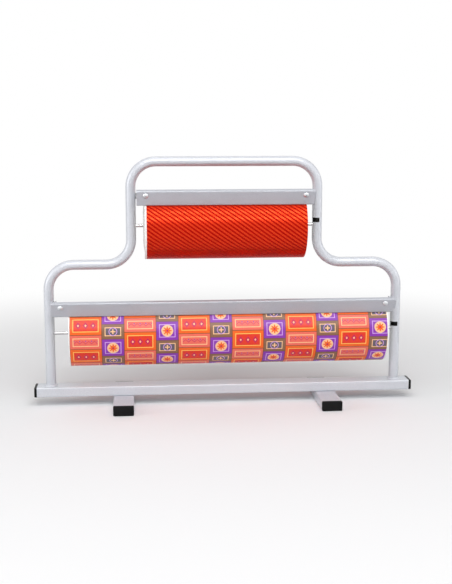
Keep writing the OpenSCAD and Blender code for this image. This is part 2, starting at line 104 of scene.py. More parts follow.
class Wire:
    """One socket of a node tree. Sums, products and comparisons of wires add Math nodes."""

    def __init__(self, tree, socket=None):
        self.tree = tree
        self.socket = socket

    def node(self, kind, settings=None, inputs=None, output=0):
        """Adds a node: its settings first, then the values or links of its sockets."""
        made = self.tree.nodes.new("ShaderNode" + kind)
        for name, value in (settings or {}).items():
            setattr(made, name, value)
        for key, value in (inputs or {}).items():
            if isinstance(value, Wire):
                self.tree.links.new(value.socket, made.inputs[key])
            else:
                made.inputs[key].default_value = value
        return Wire(self.tree, made.outputs[output])

    def maths(self, operation, first, second=0.0):
        return self.node("Math", {"operation": operation}, {0: first, 1: second})

    def __add__(self, other):
        return self.maths("ADD", self, other)

    def __sub__(self, other):
        return self.maths("SUBTRACT", self, other)

    def __rsub__(self, other):
        return self.maths("SUBTRACT", other, self)

    def __mul__(self, other):
        return self.maths("MULTIPLY", self, other)

    def __truediv__(self, other):
        return self.maths("DIVIDE", self, other)

    def __lt__(self, other):
        return self.maths("LESS_THAN", self, other)

    def __gt__(self, other):
        return self.maths("GREATER_THAN", self, other)

    def __abs__(self):
        return self.maths("ABSOLUTE", self)

    __radd__ = __add__
    __rmul__ = __mul__

    def larger(self, other):
        return self.maths("MAXIMUM", self, other)

    def smaller(self, other):
        return self.maths("MINIMUM", self, other)

    def fraction(self):
        return self.maths("FRACT", self)

    def root(self):
        return self.maths("SQRT", self)

    def ease(self, low, high):
        """Climbs smoothly from 0 at low to 1 at high."""
        ends = {"Value": self, "From Min": low, "From Max": high}
        return self.node("MapRange", {"interpolation_type": "SMOOTHSTEP"}, ends)

    def colour(self, at_zero, at_one):
        """The first colour where this value is 0 and the second where it is 1."""
        return self.node("Mix", {"data_type": "RGBA"}, {0: self, 6: at_zero, 7: at_one}, output=2)

    def part(self, index):
        """The X, Y or Z of this vector."""
        return self.node("SeparateXYZ", None, {0: self}, output=index)

    def grain(self, scale, detail=2.0, roughness=0.5):
        """Noise from 0 to 1 over these coordinates, its blobs 1 / scale metres across."""
        values = {"Vector": self, "Scale": scale, "Detail": detail, "Roughness": roughness}
        return self.node("TexNoise", None, values)


def seen_directly(start):
    """1 for rays from the camera and for those that glossy or clear surfaces send."""
    seen = start.node("LightPath", output=0)
    glossy = start.node("LightPath", output=3)
    through = start.node("LightPath", output=6)
    return seen.larger(glossy).larger(through)


room = bpy.data.worlds.new("white room")
room.use_nodes = True
scene.world = room
room_tree = room.node_tree
room_start = Wire(room_tree)
room_strength = seen_directly(room_start) * (1 - room_light) + room_light
room_glow = room_start.node("Background", None, {"Color": white, "Strength": room_strength})
room_tree.links.new(room_glow.socket, room_tree.nodes["World Output"].inputs["Surface"])

floor_finish = bpy.data.materials.new("pale floor")
floor_finish.use_nodes = True
floor_tree = floor_finish.node_tree
floor_start = Wire(floor_tree)
on_floor = floor_start.node("TexCoord", output=3)
floor_distance = floor_start.node("VectorMath", {"operation": "LENGTH"}, {0: on_floor}, output=1)
floor_fade = floor_distance.ease(fade_start, fade_end) * seen_directly(floor_start)
floor_matt = floor_start.node("BsdfDiffuse", None, {"Color": floor_colour})
floor_glow = floor_start.node("Emission", None, {"Color": white, "Strength": 1.0})
floor_surface = floor_start.node("MixShader", None, {0: floor_fade, 1: floor_matt, 2: floor_glow})
floor_tree.links.new(floor_surface.socket, floor_tree.nodes["Material Output"].inputs["Surface"])

floor_shape = bmesh.new()
floor_place = Matrix.Translation((0, 0, floor_z))
bmesh.ops.create_circle(
    floor_shape, cap_ends=True, segments=floor_sides, radius=floor_radius, matrix=floor_place
)
floor_mesh = bpy.data.meshes.new("floor")
floor_shape.to_mesh(floor_mesh)
floor_shape.free()
floor_mesh.materials.append(floor_finish)
floor = bpy.data.objects.new("floor", floor_mesh)
scene.collection.objects.link(floor)


# ==== Frame tube ====
# One length of thin steel tube, bent to both shoulders and the top, then powder-coated silver.
# The coat doesn't reach into the tube, so the bore behind the rod slots stays dark, raw steel.
tube_d = 0.019
tube_wall = 0.0015
bend_r = 0.048
rod_inset = 0.0005
shoulder_rise = 0.1417
raw_steel_depth = 0.0003
below_foot = 0.01
tube_r = tube_d / 2
lower_axis_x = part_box("lower_rod")[1].x + rod_inset
upper_axis_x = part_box("upper_rod")[1].x + rod_inset
tube_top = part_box("frame_tube")[1].z
tube_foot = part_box("frame_tube")[0].z
lower_rod_z = (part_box("lower_rod")[0].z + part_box("lower_rod")[1].z) / 2


def srgb(red, green, blue):
    """A colour as a screen shows it, from 0 to 255, as the linear colour of a shader."""
    shares = [c / 255 for c in (red, green, blue)]
    linear = [c / 12.92 if c <= 0.04 else ((c + 0.055) / 1.055) ** 2.4 for c in shares]
    return (*linear, 1)


def begin_finish(name, fixed):
    """A new material, with its constants on the shader, and its object coordinates."""
    material = bpy.data.materials.new(name)
    material.use_nodes = True
    shader = material.node_tree.nodes["Principled BSDF"]
    for socket, value in fixed.items():
        shader.inputs[socket].default_value = value
    return material, Wire(material.node_tree).node("TexCoord", output=3)


def end_finish(material, varying):
    """Links what changes over the surface to the material's shader."""
    shader = material.node_tree.nodes["Principled BSDF"]
    for socket, wire in varying.items():
        material.node_tree.links.new(wire.socket, shader.inputs[socket])


def bump(height, distance, strength=1.0):
    return height.node("Bump", None, {"Height": height, "Distance": distance, "Strength": strength})


def coat(material, *names):
    """Gives CAD nodes their finish."""
    for name in names:
        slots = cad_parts[name].data.materials
        slots.clear()
        slots.append(material)


frame_silver = (srgb(192, 195, 202), srgb(214, 216, 222))
# The bars and arms have the frame's own paint; this darker copy of its silver is painted shade for
# the bars' down-tilted faces.
shaded_bar_silver = (srgb(170, 173, 180), srgb(190, 192, 199))
raw_steel = srgb(52, 48, 46)
bare_roughness = 0.45
flake_share = 0.6
flake_scale = 2600
cloud_scale = 14
peel_scale = 900
peel_height = 0.00002
coat_roughness = 0.34
cloud_roughness = 0.08
flake_roughness = 0.06
coat_metal = 0.20
flake_metal = 0.20


def powder_coat(name, silver, missing=None, bare_colour=raw_steel, bare_metal=0):
    """Silver powder coat: metal flakes in a slightly rippled film. missing masks bare steel."""
    material, place = begin_finish(name, {"IOR": 1.5, "Coat Weight": 0.15, "Coat Roughness": 0.18})
    cells = place.node("TexVoronoi", None, {"Vector": place, "Scale": flake_scale}, output=1)
    flakes = cells.part(0)
    clouds = place.grain(cloud_scale, 3)
    mottle = flakes * flake_share + clouds * (1 - flake_share)
    tone = mottle.ease(0.15, 0.85).colour(*silver)
    gloss = coat_roughness + cloud_roughness * clouds + flake_roughness * flakes
    metal = coat_metal + flake_metal * flakes
    if missing:
        bare = missing(place)
        tone = bare.colour(tone, bare_colour)
        gloss = gloss * (1 - bare) + bare * bare_roughness
        metal = metal * (1 - bare) + bare * bare_metal
    peel = place.grain(peel_scale, 2)
    end_finish(
        material,
        {
            "Base Color": tone,
            "Roughness": gloss,
            "Metallic": metal,
            "Normal": bump(peel, peel_height),
        },
    )
    return material


def inside_uprights(place):
    """1 in the bore of the four upright lengths of tube."""
    x, y, z = abs(place.part(0)), place.part(1), place.part(2)
    bore = tube_r - tube_wall + raw_steel_depth
    shoulder_z = lower_rod_z + shoulder_rise - tube_r
    found = None
    for axis_x, low, high in (
        (lower_axis_x, tube_foot - below_foot, shoulder_z - bend_r),
        (upper_axis_x, shoulder_z + bend_r, tube_top - tube_r - bend_r),
    ):
        away = x - axis_x
        within = (away * away + y * y < bore * bore) * (z > low) * (z < high)
        found = within if found is None else found.larger(within)
    return found


tube_finish = powder_coat("silver powder coat on tube", frame_silver, inside_uprights)
coat(tube_finish, "frame_tube")


# ==== Foot welds ====
# Each foot of the tube is welded to the rail all round, before the coat goes on.
# The bead lies in the corner and shows the ripples of the welder's steps.
bead_leg = 0.0031
bead_sunk = 0.0006
bead_bulge = 0.0007
bead_parts = 6
bead_steps = 136
ripples = 34
ripple_h = 0.00016
ripple_lean = 900
bead_crease = 40
merge_reach = 1e-6


def link_piece(name, shape, crease, *materials):
    """Makes an object of a finished shape, smooth but for edges sharper than crease degrees."""
    mesh = bpy.data.meshes.new(name)
    shape.to_mesh(mesh)
    shape.free()
    for material in materials:
        mesh.materials.append(material)
    mesh.shade_smooth()
    mesh.set_sharp_from_angle(angle=math.radians(crease))
    made = bpy.data.objects.new(name, mesh)
    scene.collection.objects.link(made)
    return made


def outline(shape, points):
    """Joins points in a row with edges and gives the points and edges."""
    verts = [shape.verts.new(p) for p in points]
    edges = [shape.edges.new((a, b)) for a, b in zip(verts, verts[1:])]
    return verts, edges


bead_profile = [(-bead_sunk, -bead_sunk), (bead_leg, -bead_sunk)]
for step in range(bead_parts + 1):
    along = step / bead_parts
    bulge = bead_bulge * math.sin(math.pi * along)
    bead_profile.append((bead_leg * (1 - along) + bulge, bead_leg * along + bulge))
bead_profile.append((-bead_sunk, bead_leg))

for side, side_name in ((-1, "left"), (1, "right")):
    foot = Vector((side * lower_axis_x, 0, tube_foot))
    bead = bmesh.new()
    verts, edges = outline(bead, [foot + Vector((tube_r + out, 0, up)) for out, up in bead_profile])
    edges.append(bead.edges.new((verts[-1], verts[0])))
    bmesh.ops.spin(
        bead, geom=verts + edges, cent=foot, axis=(0, 0, 1), angle=2 * math.pi,
        steps=bead_steps, use_merge=True,
    )
    bmesh.ops.remove_doubles(bead, verts=bead.verts, dist=merge_reach)
    bmesh.ops.recalc_face_normals(bead, faces=bead.faces)
    for v in bead.verts:
        out = (v.co - foot) * Vector((1, 1, 0))
        beyond = out.length - tube_r
        if beyond > 0 and v.co.z > foot.z:
            wave = math.cos(ripples * math.atan2(out.y, out.x) + ripple_lean * v.co.z)
            v.co += out.normalized() * ripple_h * wave * min(1, beyond / bead_bulge)
    weld = link_piece(side_name + "_foot_weld", bead, bead_crease, tube_finish)
    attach(weld, "frame")


# ==== Rail and legs ====
# Rectangular steel section laid flat: one long rail across two short legs, coated like the tube.
# The legs are screwed to the rail from below.
base_finish = powder_coat("silver powder coat on base", frame_silver)
coat(base_finish, "base_rail", "left_leg", "right_leg")


# ==== End caps ====
# Moulded black plastic caps, pushed into the six open ends of the sections.
# The flange has softly rounded edges, and three ribs round a hollow plug grip the walls inside.
section_w = 0.039
section_h = 0.019
section_wall = 0.0015
section_corner = 0.0024
corner_steps = 6
flange_t = 0.005
flange_round = 0.0012
flange_steps = 4
plug_reach = 0.014
plug_gap = 0.00005
rib_stand = 0.0008
rib_t = 0.0012
rib_pitch = 0.004
rib_count = 3
cap_wall = 0.0018
cap_crease = 50
cap_turns = [
    ("rail_cap_right", 0),
    ("rail_cap_left", 180),
    ("left_leg_front_cap", -90),
    ("right_leg_front_cap", -90),
    ("left_leg_rear_cap", 90),
    ("right_leg_rear_cap", 90),
]


def draw_on(shape, face, x, inset):
    """Extrudes the end face of a cap's plug to x, its sides inset from the section's bore."""
    face = bmesh.ops.extrude_discrete_faces(shape, faces=[face])["faces"][0]
    across = (section_w / 2 - section_wall - inset) / max(v.co.y for v in face.verts)
    upward = (section_h / 2 - section_wall - inset) / max(v.co.z for v in face.verts)
    for v in face.verts:
        v.co = (x, v.co.y * across, v.co.z * upward)
    return face


def end_cap():
    """One cap, its flange along +X and its plug reaching back from the section's end at X = 0."""
    shape = bmesh.new()
    flange = Matrix.Diagonal((flange_t, section_w, section_h, 1))
    bmesh.ops.create_cube(shape, size=1, matrix=Matrix.Translation((flange_t / 2, 0, 0)) @ flange)
    corners = [e for e in shape.edges if abs(e.verts[0].co.x - e.verts[1].co.x) > flange_t / 2]
    rounding = {"affect": "EDGES", "profile": 0.5, "material": -1}
    bmesh.ops.bevel(shape, geom=corners, offset=section_corner, segments=corner_steps, **rounding)
    rim = [e for e in shape.edges if min(v.co.x for v in e.verts) > flange_t / 2]
    bmesh.ops.bevel(shape, geom=rim, offset=flange_round, segments=flange_steps, **rounding)
    end = min(shape.faces, key=lambda face: face.calc_center_median().x)
    rim_w = section_wall + rib_stand
    bmesh.ops.inset_region(shape, faces=[end], thickness=rim_w, use_even_offset=True)
    for rib in range(1, rib_count + 1):
        rib_back = -rib * rib_pitch
        rib_front = rib_back + rib_t
        for x, inset in (
            (rib_front, rib_stand),
            (rib_front, plug_gap),
            (rib_back, plug_gap),
            (rib_back, rib_stand),
        ):
            end = draw_on(shape, end, x, inset)
    end = draw_on(shape, end, -plug_reach, rib_stand)
    end = draw_on(shape, end, -plug_reach, rib_stand + cap_wall)
    draw_on(shape, end, 0, rib_stand + cap_wall)
    bmesh.ops.recalc_face_normals(shape, faces=shape.faces)
    return shape


cap_black = srgb(9, 9, 10)
cap_grey = srgb(18, 18, 19)
black_plastic, place = begin_finish("moulded black plastic", {"IOR": 1.25})
cap_cloud = place.grain(60, 3)
cap_texture = place.grain(2200, 2)
end_finish(
    black_plastic,
    {
        "Base Color": cap_cloud.colour(cap_black, cap_grey),
        "Roughness": 0.42 + 0.15 * cap_texture,
        "Normal": bump(cap_texture, 0.00005, 0.8),
    },
)

for cap_node, cap_turn in cap_turns:
    outward = Matrix.Rotation(math.radians(cap_turn), 4, "Z")
    cap_low, cap_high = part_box(cap_node)
    section_end = (cap_low + cap_high) / 2 + outward @ Vector(((plug_reach - flange_t) / 2, 0, 0))
    cap_place = Matrix.Translation(section_end) @ outward
    cap_shape = end_cap()
    bmesh.ops.transform(cap_shape, matrix=cap_place, verts=cap_shape.verts)
    cap = link_piece("moulded_" + cap_node, cap_shape, cap_crease, black_plastic)
    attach(cap, "frame")
    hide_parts(cap_node)


# ==== Rods ====
# Drawn mild-steel rods with chamfered ends. Each rests in a round seat in the left upright
# and drops into the slot of the right one.
draw_lines = (25, 2400, 2400)

drawn_steel, place = begin_finish("drawn steel rod", {"Metallic": 1.0})
lines = place.node("Mapping", None, {"Vector": place, "Scale": draw_lines}).grain(1, 3, 0.6)
film = place.grain(35, 3)
end_finish(
    drawn_steel,
    {
        "Base Color": film.colour(srgb(182, 182, 184), srgb(208, 207, 205)),
        "Roughness": 0.20 + 0.16 * lines,
        "Normal": bump(lines, 0.00002, 0.6),
    },
)
coat(drawn_steel, "upper_rod", "lower_rod")


# ==== Cores ====
# Grey-brown board wound in a spiral and glued, cut to the width of the paper.
# The seams of the outer strip run round it at a shallow angle.
strip_w = 0.074
seam_w = 0.0007
board_fibres = (400, 900, 900)
upper_roll_z = (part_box("upper_paper")[0].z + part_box("upper_paper")[1].z) / 2
lower_roll_z = (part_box("lower_paper")[0].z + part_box("lower_paper")[1].z) / 2


def around_axis(place, axis_z, start_angle):
    """0 to 1 round an axis along X, from start_angle down the front and up the back."""
    angle = place.maths("ARCTAN2", place.part(1), place.part(2) - axis_z)
    return ((start_angle - angle) / (2 * math.pi)).fraction()


def core_board(name, axis_z):
    material, place = begin_finish(name, {"IOR": 1.4})
    strip = ((place.part(0) / strip_w) + around_axis(place, axis_z, 0)).fraction()
    seam = strip < seam_w / strip_w
    fibres = place.node("Mapping", None, {"Vector": place, "Scale": board_fibres}).grain(1, 4, 0.7)
    board = fibres.ease(0.25, 0.75).colour(srgb(158, 132, 102), srgb(190, 164, 130))
    end_finish(
        material,
        {
            "Base Color": seam.colour(board, srgb(104, 82, 60)),
            "Roughness": 0.78 + 0.15 * fibres,
            "Normal": bump(fibres * (1 - seam), 0.00012),
        },
    )
    return material


coat(core_board("wound board of upper core", upper_roll_z), "upper_core")
coat(core_board("wound board of lower core", lower_roll_z), "lower_core")


# ==== Core plugs and spacers ====
# White moulded nylon cups hang the cores on the rods, and grey nylon washers keep
# the cutter arms clear of the uprights.
def moulded_nylon(name, dark, light):
    milky = {"IOR": 1.53, "Subsurface Weight": 0.08, "Subsurface Scale": 0.002}
    material, place = begin_finish(name, milky)
    cloud = place.grain(90, 3)
    texture = place.grain(1500, 2)
    end_finish(
        material,
        {
            "Base Color": cloud.colour(dark, light),
            "Roughness": 0.42 + 0.12 * texture,
            "Normal": bump(texture, 0.00004, 0.7),
        },
    )
    return material


white_nylon = moulded_nylon("white nylon", srgb(226, 223, 212), srgb(238, 236, 228))
grey_nylon = moulded_nylon("grey nylon", srgb(150, 151, 154), srgb(168, 169, 172))
coat(white_nylon, "upper_left_plug", "upper_right_plug", "lower_left_plug", "lower_right_plug")
coat(grey_nylon, "upper_pivot_spacers", "lower_pivot_spacers")


# ==== Paper rolls ====
# Gift wrap wound on its core, so that each turn lies a ply further out and the free edge
# ends under the cutting edge. The turns don't line up exactly at the ends of a roll.
core_r = 0.022
ply_step = 0.00022
edge_round = 0.0004
end_rings = 26
end_scatter = 0.00022
ring_scale = 1900
band_scale = 210
ring_share = 0.7
turn_steps = 180
length_step = 0.012
skin_from = 0.98
slack_h = 0.00012
slack_scale = Vector((9, 55, 55))
seam_turn = 0.0004
core_blend = 0.25
slip_from = 0.30
slip_to = 0.82
facing_end = 0.8
roll_crease = 30


def cutting_edge(bar):
    """Where a bar's edge lies: it is the bar's lowest and rearmost line."""
    low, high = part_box(bar)
    return Vector((0, high.y, low.z))


def roll_slip(out, slip):
    """How far a turn has slipped out of the roll's end. out is 0 at the core and 1 at the skin."""
    share = min(1, max(0, (out - slip_from) / (slip_to - slip_from)))
    return slip * (1 - share * share * (3 - 2 * share))


def wound_roll(node, bar, seed, slip=0.0):
    """The whole roll, turned about its axis from the free edge, a ply thicker after one turn."""
    low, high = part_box(node)
    centre = Vector((0, 0, (low.z + high.z) / 2))
    left, right, r = low.x, high.x, high.z - centre.z
    free_edge = cutting_edge(bar) - centre
    start_angle = math.atan2(free_edge.y, free_edge.z)
    scatter = random.Random(seed)
    steps = [i / end_rings for i in range(end_rings + 1)]
    ring_radii = [core_r + (r - edge_round - core_r) * step for step in steps]
    inset = [0.0] + [end_scatter * scatter.random() for _ in steps[1:-1]] + [0.0]
    slips = [roll_slip(step, slip) for step in steps]
    left_end = [(left + gap - slid, radius) for gap, slid, radius in zip(inset, slips, ring_radii)]
    right_end = [(right - gap, radius) for gap, radius in zip(inset, ring_radii)][::-1]
    stations = round((right - left - 2 * edge_round) / length_step)
    station_w = (right - left - 2 * edge_round) / stations
    skin = [(left + edge_round + station_w * i, r) for i in range(stations + 1)]

    shape = bmesh.new()
    forward = free_edge.normalized()
    profile = left_end + skin + right_end
    points = [centre + Vector((x, 0, 0)) + forward * radius for x, radius in profile]
    verts, edges = outline(shape, points)
    edges.append(shape.edges.new((verts[-1], verts[0])))
    spun = bmesh.ops.spin(
        shape, geom=verts + edges, cent=centre, axis=(1, 0, 0),
        angle=2 * math.pi * (1 - seam_turn), steps=turn_steps,
    )
    last = [e for e in spun["geom_last"] if isinstance(e, bmesh.types.BMEdge)]
    bmesh.ops.bridge_loops(shape, edges=edges + last)
    for v in shape.verts:
        out = Vector((0, v.co.y, v.co.z - centre.z))
        turn = ((start_angle - math.atan2(out.y, out.z)) / (2 * math.pi)) % 1
        # The first line of the spin lies on the start angle, which rounding can put just before it.
        if turn > 1 - seam_turn / 4:
            turn = 0.0
        depth = (out.length - core_r) / (r - core_r)
        sink = ply_step * (1 - turn) * min(1, depth / core_blend)
        if depth > skin_from:
            slack = noise.noise(Vector((v.co.x, out.y, out.z)) * slack_scale + Vector((seed, 0, 0)))
            sink += slack_h * (1 + slack) / 2
        v.co -= out.normalized() * sink
    bmesh.ops.recalc_face_normals(shape, faces=shape.faces)
    shape.normal_update()
    for face in shape.faces:
        from_axis = face.calc_center_median() - centre
        from_axis.x = 0
        in_bore = from_axis.length < core_r + edge_round / 2
        face.material_index = 1 if in_bore or abs(face.normal.x) > facing_end else 0
    return shape


def paper_edges(name, axis_z, start_angle):
    """The white cut edges of a roll's turns, packed into fine rings."""
    material, place = begin_finish(name, {"IOR": 1.4})
    y = place.part(1)
    z = place.part(2) - axis_z
    turns = (y * y + z * z).root() + around_axis(place, axis_z, start_angle) * ply_step
    along_line = {"noise_dimensions": "1D"}
    rings = place.node("TexNoise", along_line, {"W": turns, "Scale": ring_scale, "Detail": 4.0})
    bands = place.node("TexNoise", along_line, {"W": turns, "Scale": band_scale, "Detail": 2.0})
    shade = (rings * ring_share + bands * (1 - ring_share)).ease(0.28, 0.62)
    end_finish(
        material,
        {
            "Base Color": shade.colour(srgb(204, 198, 192), srgb(246, 244, 241)),
            "Roughness": 0.75 + 0.2 * rings,
            "Normal": bump(rings, 0.00015),
        },
    )
    return material


# ==== Upper paper ====
# Crimson foil wrap with fine slanting stripes that catch the light in gold.
# A narrow margin along its left edge is left white, and its inner turns have slipped to the left.
upper_seed = 3
upper_slip = 0.0026
stripe_pitch = 0.0065
stripe_slope = math.radians(36)
stripe_soft = 0.3
stripe_metal = 0.65
margin_roughness = 0.6
left_margin = 0.0034
upper_left_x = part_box("upper_paper")[0].x
upper_roll_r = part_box("upper_paper")[1].z - upper_roll_z
upper_edge = cutting_edge("upper_cutter_bar")
upper_start = math.atan2(upper_edge.y, upper_edge.z - upper_roll_z)
crimson = srgb(164, 0, 3)
stripe_red = srgb(222, 60, 28)
foil_gloss = srgb(255, 118, 82)
margin_white = srgb(242, 240, 238)

foil, place = begin_finish("striped crimson foil", {"IOR": 1.38, "Specular Tint": foil_gloss})
down = around_axis(place, upper_roll_z, upper_start) * (2 * math.pi * upper_roll_r)
across = (place.part(0) * math.sin(stripe_slope) - down * math.cos(stripe_slope)) / stripe_pitch
ramp = abs(across.fraction() - 0.5) * 2
stripe = ramp.ease(0.5 - stripe_soft, 0.5 + stripe_soft)
margin = place.part(0) < upper_left_x + left_margin
foil_cloud = place.grain(30, 3)
foil_roughness = 0.38 - 0.16 * stripe + 0.06 * foil_cloud
end_finish(
    foil,
    {
        "Base Color": margin.colour(stripe.colour(crimson, stripe_red), margin_white),
        "Metallic": stripe_metal * stripe * (1 - margin),
        "Roughness": foil_roughness * (1 - margin) + margin * margin_roughness,
        "Normal": bump(foil_cloud, 0.0003, 0.5),
    },
)
upper_edges = paper_edges("cut edges of upper paper", upper_roll_z, upper_start)
upper_shape = wound_roll("upper_paper", "upper_cutter_bar", upper_seed, upper_slip)
upper_roll = link_piece("upper_paper_roll", upper_shape, roll_crease, foil, upper_edges)
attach(upper_roll, "upper_roll")
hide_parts("upper_paper")


# ==== Lower paper ====
# Glossy white paper printed with a patchwork: wide and narrow columns of framed blocks,
# every other pair of columns dropped by half a repeat. Both edges have a narrow white margin.
lower_seed = 7
lower_margin = 0.0022
repeat_w = 0.102
repeat_h = 0.0644
wide_w = 0.060
narrow_drop = 0.31
tall_block = 0.0365
gutter = 0.0012
frame_w = 0.0050
line_w = 0.0016
lower_left_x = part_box("lower_paper")[0].x
lower_right_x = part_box("lower_paper")[1].x
lower_roll_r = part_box("lower_paper")[1].z - lower_roll_z
lower_edge = cutting_edge("lower_cutter_bar")
lower_start = math.atan2(lower_edge.y, lower_edge.z - lower_roll_z)
ink_orange = srgb(240, 98, 18)
ink_flame = srgb(224, 48, 24)
ink_yellow = srgb(252, 190, 92)
ink_crimson = srgb(196, 22, 78)
ink_cream = srgb(248, 196, 146)
ink_pink = srgb(232, 104, 86)
ink_rose = srgb(208, 56, 92)
ink_purple = srgb(134, 46, 172)
ink_lilac = srgb(204, 156, 222)
ink_taupe = srgb(134, 96, 70)
ink_slate = srgb(98, 88, 100)
ink_olive = srgb(116, 70, 34)


def lozenges(print_colour, x, y):
    """Three lozenges in a row, each with a pale heart."""
    pitch, half_h, slant, heart_h = 0.014, 0.0068, 1.25, 0.0024
    row = abs(x) < 1.5 * pitch
    reach = abs((x / pitch + 0.5).fraction() - 0.5) * (pitch * slant) + abs(y)
    print_colour = ((reach < half_h) * row).colour(print_colour, ink_crimson)
    return ((reach < heart_h) * row).colour(print_colour, ink_cream)


def zigzag(print_colour, x, y):
    """A zigzag line with a dot in each of its bends."""
    pitch, rise, half_line, half_row, dot_r = 0.011, 0.0050, 0.0009, 0.022, 0.0011
    swing = abs((x / pitch).fraction() - 0.5)
    row = abs(x) < half_row
    line = abs(y - swing * (2 * rise) + rise / 2) < half_line
    dot_x = (swing - 0.5) * pitch
    dot_y = y + rise / 2
    dot = (dot_x * dot_x + dot_y * dot_y).root() < dot_r
    print_colour = (line * row).colour(print_colour, ink_rose)
    return (dot * row).colour(print_colour, ink_purple)


def rosette(print_colour, x, y):
    """A pale disc with an eight-petalled rosette."""
    disc_r, petal_r, petal_swing, petal_count, heart_r = 0.0112, 0.0066, 0.0020, 8, 0.0019
    radius = (x * x + y * y).root()
    petals = x.maths("COSINE", x.maths("ARCTAN2", y, x) * petal_count) * petal_swing + petal_r
    print_colour = (radius < disc_r).colour(print_colour, ink_cream)
    print_colour = ((petals - radius) > 0).colour(print_colour, ink_orange)
    return (radius < heart_r).colour(print_colour, ink_crimson)


def crosslet(print_colour, x, y):
    """A plain cross in a ring."""
    ring_r, ring_t, arm_reach, arm_half = 0.0074, 0.0007, 0.0048, 0.0011
    radius = (x * x + y * y).root()
    ring = abs(radius - ring_r) < ring_t
    upright = (abs(x) < arm_half) * (abs(y) < arm_reach)
    crossing = (abs(y) < arm_half) * (abs(x) < arm_reach)
    print_colour = ring.colour(print_colour, ink_lilac)
    return upright.larger(crossing).colour(print_colour, ink_cream)


narrow_w = repeat_w - wide_w
low_block = repeat_h - tall_block
tall_middle = tall_block / 2
low_middle = tall_block + low_block / 2
wide_middle = wide_w / 2
narrow_middle = wide_w + narrow_w / 2
warm_inks = (ink_orange, ink_yellow, ink_flame)
pink_inks = (ink_pink, ink_cream, ink_pink)
purple_inks = (ink_purple, ink_lilac, ink_purple)
taupe_inks = (ink_taupe, ink_cream, ink_slate)
blocks = [
    ("wide", wide_middle, tall_middle, wide_w, tall_block, warm_inks, lozenges),
    ("wide", wide_middle, low_middle, wide_w, low_block, pink_inks, zigzag),
    ("narrow", narrow_middle, tall_middle, narrow_w, tall_block, purple_inks, rosette),
    ("narrow", narrow_middle, low_middle, narrow_w, low_block, taupe_inks, crosslet),
]

patchwork, place = begin_finish("patchwork gift wrap", {"IOR": 1.45})
from_left = place.part(0) - (lower_left_x + lower_margin)
unrolled = around_axis(place, lower_roll_z, lower_start) * (2 * math.pi * lower_roll_r)
odd_pair = (from_left / (2 * repeat_w)).fraction() > 0.5
along = (from_left / repeat_w).fraction() * repeat_w
drop = unrolled / repeat_h + odd_pair * 0.5
down = {"wide": drop.fraction() * repeat_h, "narrow": (drop + narrow_drop).fraction() * repeat_h}
print_colour = ink_olive
for column, x_middle, y_middle, width, height, inks, motif in blocks:
    block_x = along - x_middle
    block_y = down[column] - y_middle
    depth = ((width - gutter) / 2 - abs(block_x)).smaller((height - gutter) / 2 - abs(block_y))
    for inner, ink in zip((0, frame_w, frame_w + line_w), inks):
        print_colour = (depth > inner).colour(print_colour, ink)
    print_colour = motif(print_colour, block_x, block_y)
left_bare = place.part(0) < lower_left_x + lower_margin
right_bare = place.part(0) > lower_right_x - lower_margin
bare_edge = left_bare.larger(right_bare)
ink_cloud = place.grain(26, 3)
end_finish(
    patchwork,
    {
        "Base Color": bare_edge.colour(print_colour, margin_white),
        "Roughness": 0.30 + 0.10 * ink_cloud,
        "Normal": bump(ink_cloud, 0.0003, 0.5),
    },
)
lower_edges = paper_edges("cut edges of lower paper", lower_roll_z, lower_start)
lower_shape = wound_roll("lower_paper", "lower_cutter_bar", lower_seed)
lower_roll = link_piece("lower_paper_roll", lower_shape, roll_crease, patchwork, lower_edges)
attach(lower_roll, "lower_roll")
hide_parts("lower_paper")


# ==== Cutter bars and arms ====
# Sheet steel folded back along the top, with a bevel ground bare along the lower edge to cut
# the paper. Bent sheet arms carry each bar on the uprights. All have the frame's paint, but in
# a darker copy of its silver that is painted shade for the bars' down-tilted faces.
bar_tilt = math.radians(27)
bar_t = 0.0012
ground_from = 0.0015
ground_to = 0.0021
ground_steel = srgb(150, 152, 156)
ground_metal = 0.9
up_bar = Vector((0, -math.sin(bar_tilt), math.cos(bar_tilt)))
out_of_bar = Vector((0, -math.cos(bar_tilt), -math.sin(bar_tilt)))


def ground_bevel(edge):
    """A mask of the bare metal along one bar's edge."""

    def mask(place):
        up = (place.part(1) - edge.y) * up_bar.y + (place.part(2) - edge.z) * up_bar.z
        return 1 - up.ease(ground_from, ground_to)

    return mask


for tier, edge in (("upper", upper_edge), ("lower", lower_edge)):
    bar_name = "silver powder coat on %s bar" % tier
    bevel = ground_bevel(edge)
    bar_finish = powder_coat(bar_name, shaded_bar_silver, bevel, ground_steel, ground_metal)
    coat(bar_finish, tier + "_cutter_bar")
arm_finish = powder_coat("silver powder coat on arms", shaded_bar_silver)
coat(arm_finish, "upper_left_arm", "upper_right_arm", "lower_left_arm", "lower_right_arm")


# ==== Bar bolts and nuts ====
# Each bar is bolted to its two arms with pan-head screws and hexagon nuts, all bright zinc.
# Their heads have a cross recess, and the threads are drawn as rings.
bolt_d = 0.005
bolt_head_d = 0.010
bolt_head_h = 0.00325
bolt_inset = 0.017
bolt_rise = 0.022
bolt_plain = 0.002
arm_t = 0.0015
nut_h = 0.004
nut_flats = 0.008
nut_face_r = 0.0038
nut_bore_r = 0.00255
nut_countersink = 0.0003
thread_end = 0.001
thread_pitch = 0.0008
thread_depth = 0.0004
rim_share = 0.25
rim_round = 0.0002
recess_reach = 0.0046
recess_t = 0.0011
recess_depth = 0.0019
recess_taper = 0.5
turned_steps = 48
dome_steps = 8
zinc_crease = 35
speck = 2e-6
facing_out = Matrix((Vector((1, 0, 0)), up_bar, out_of_bar)).transposed().to_4x4()


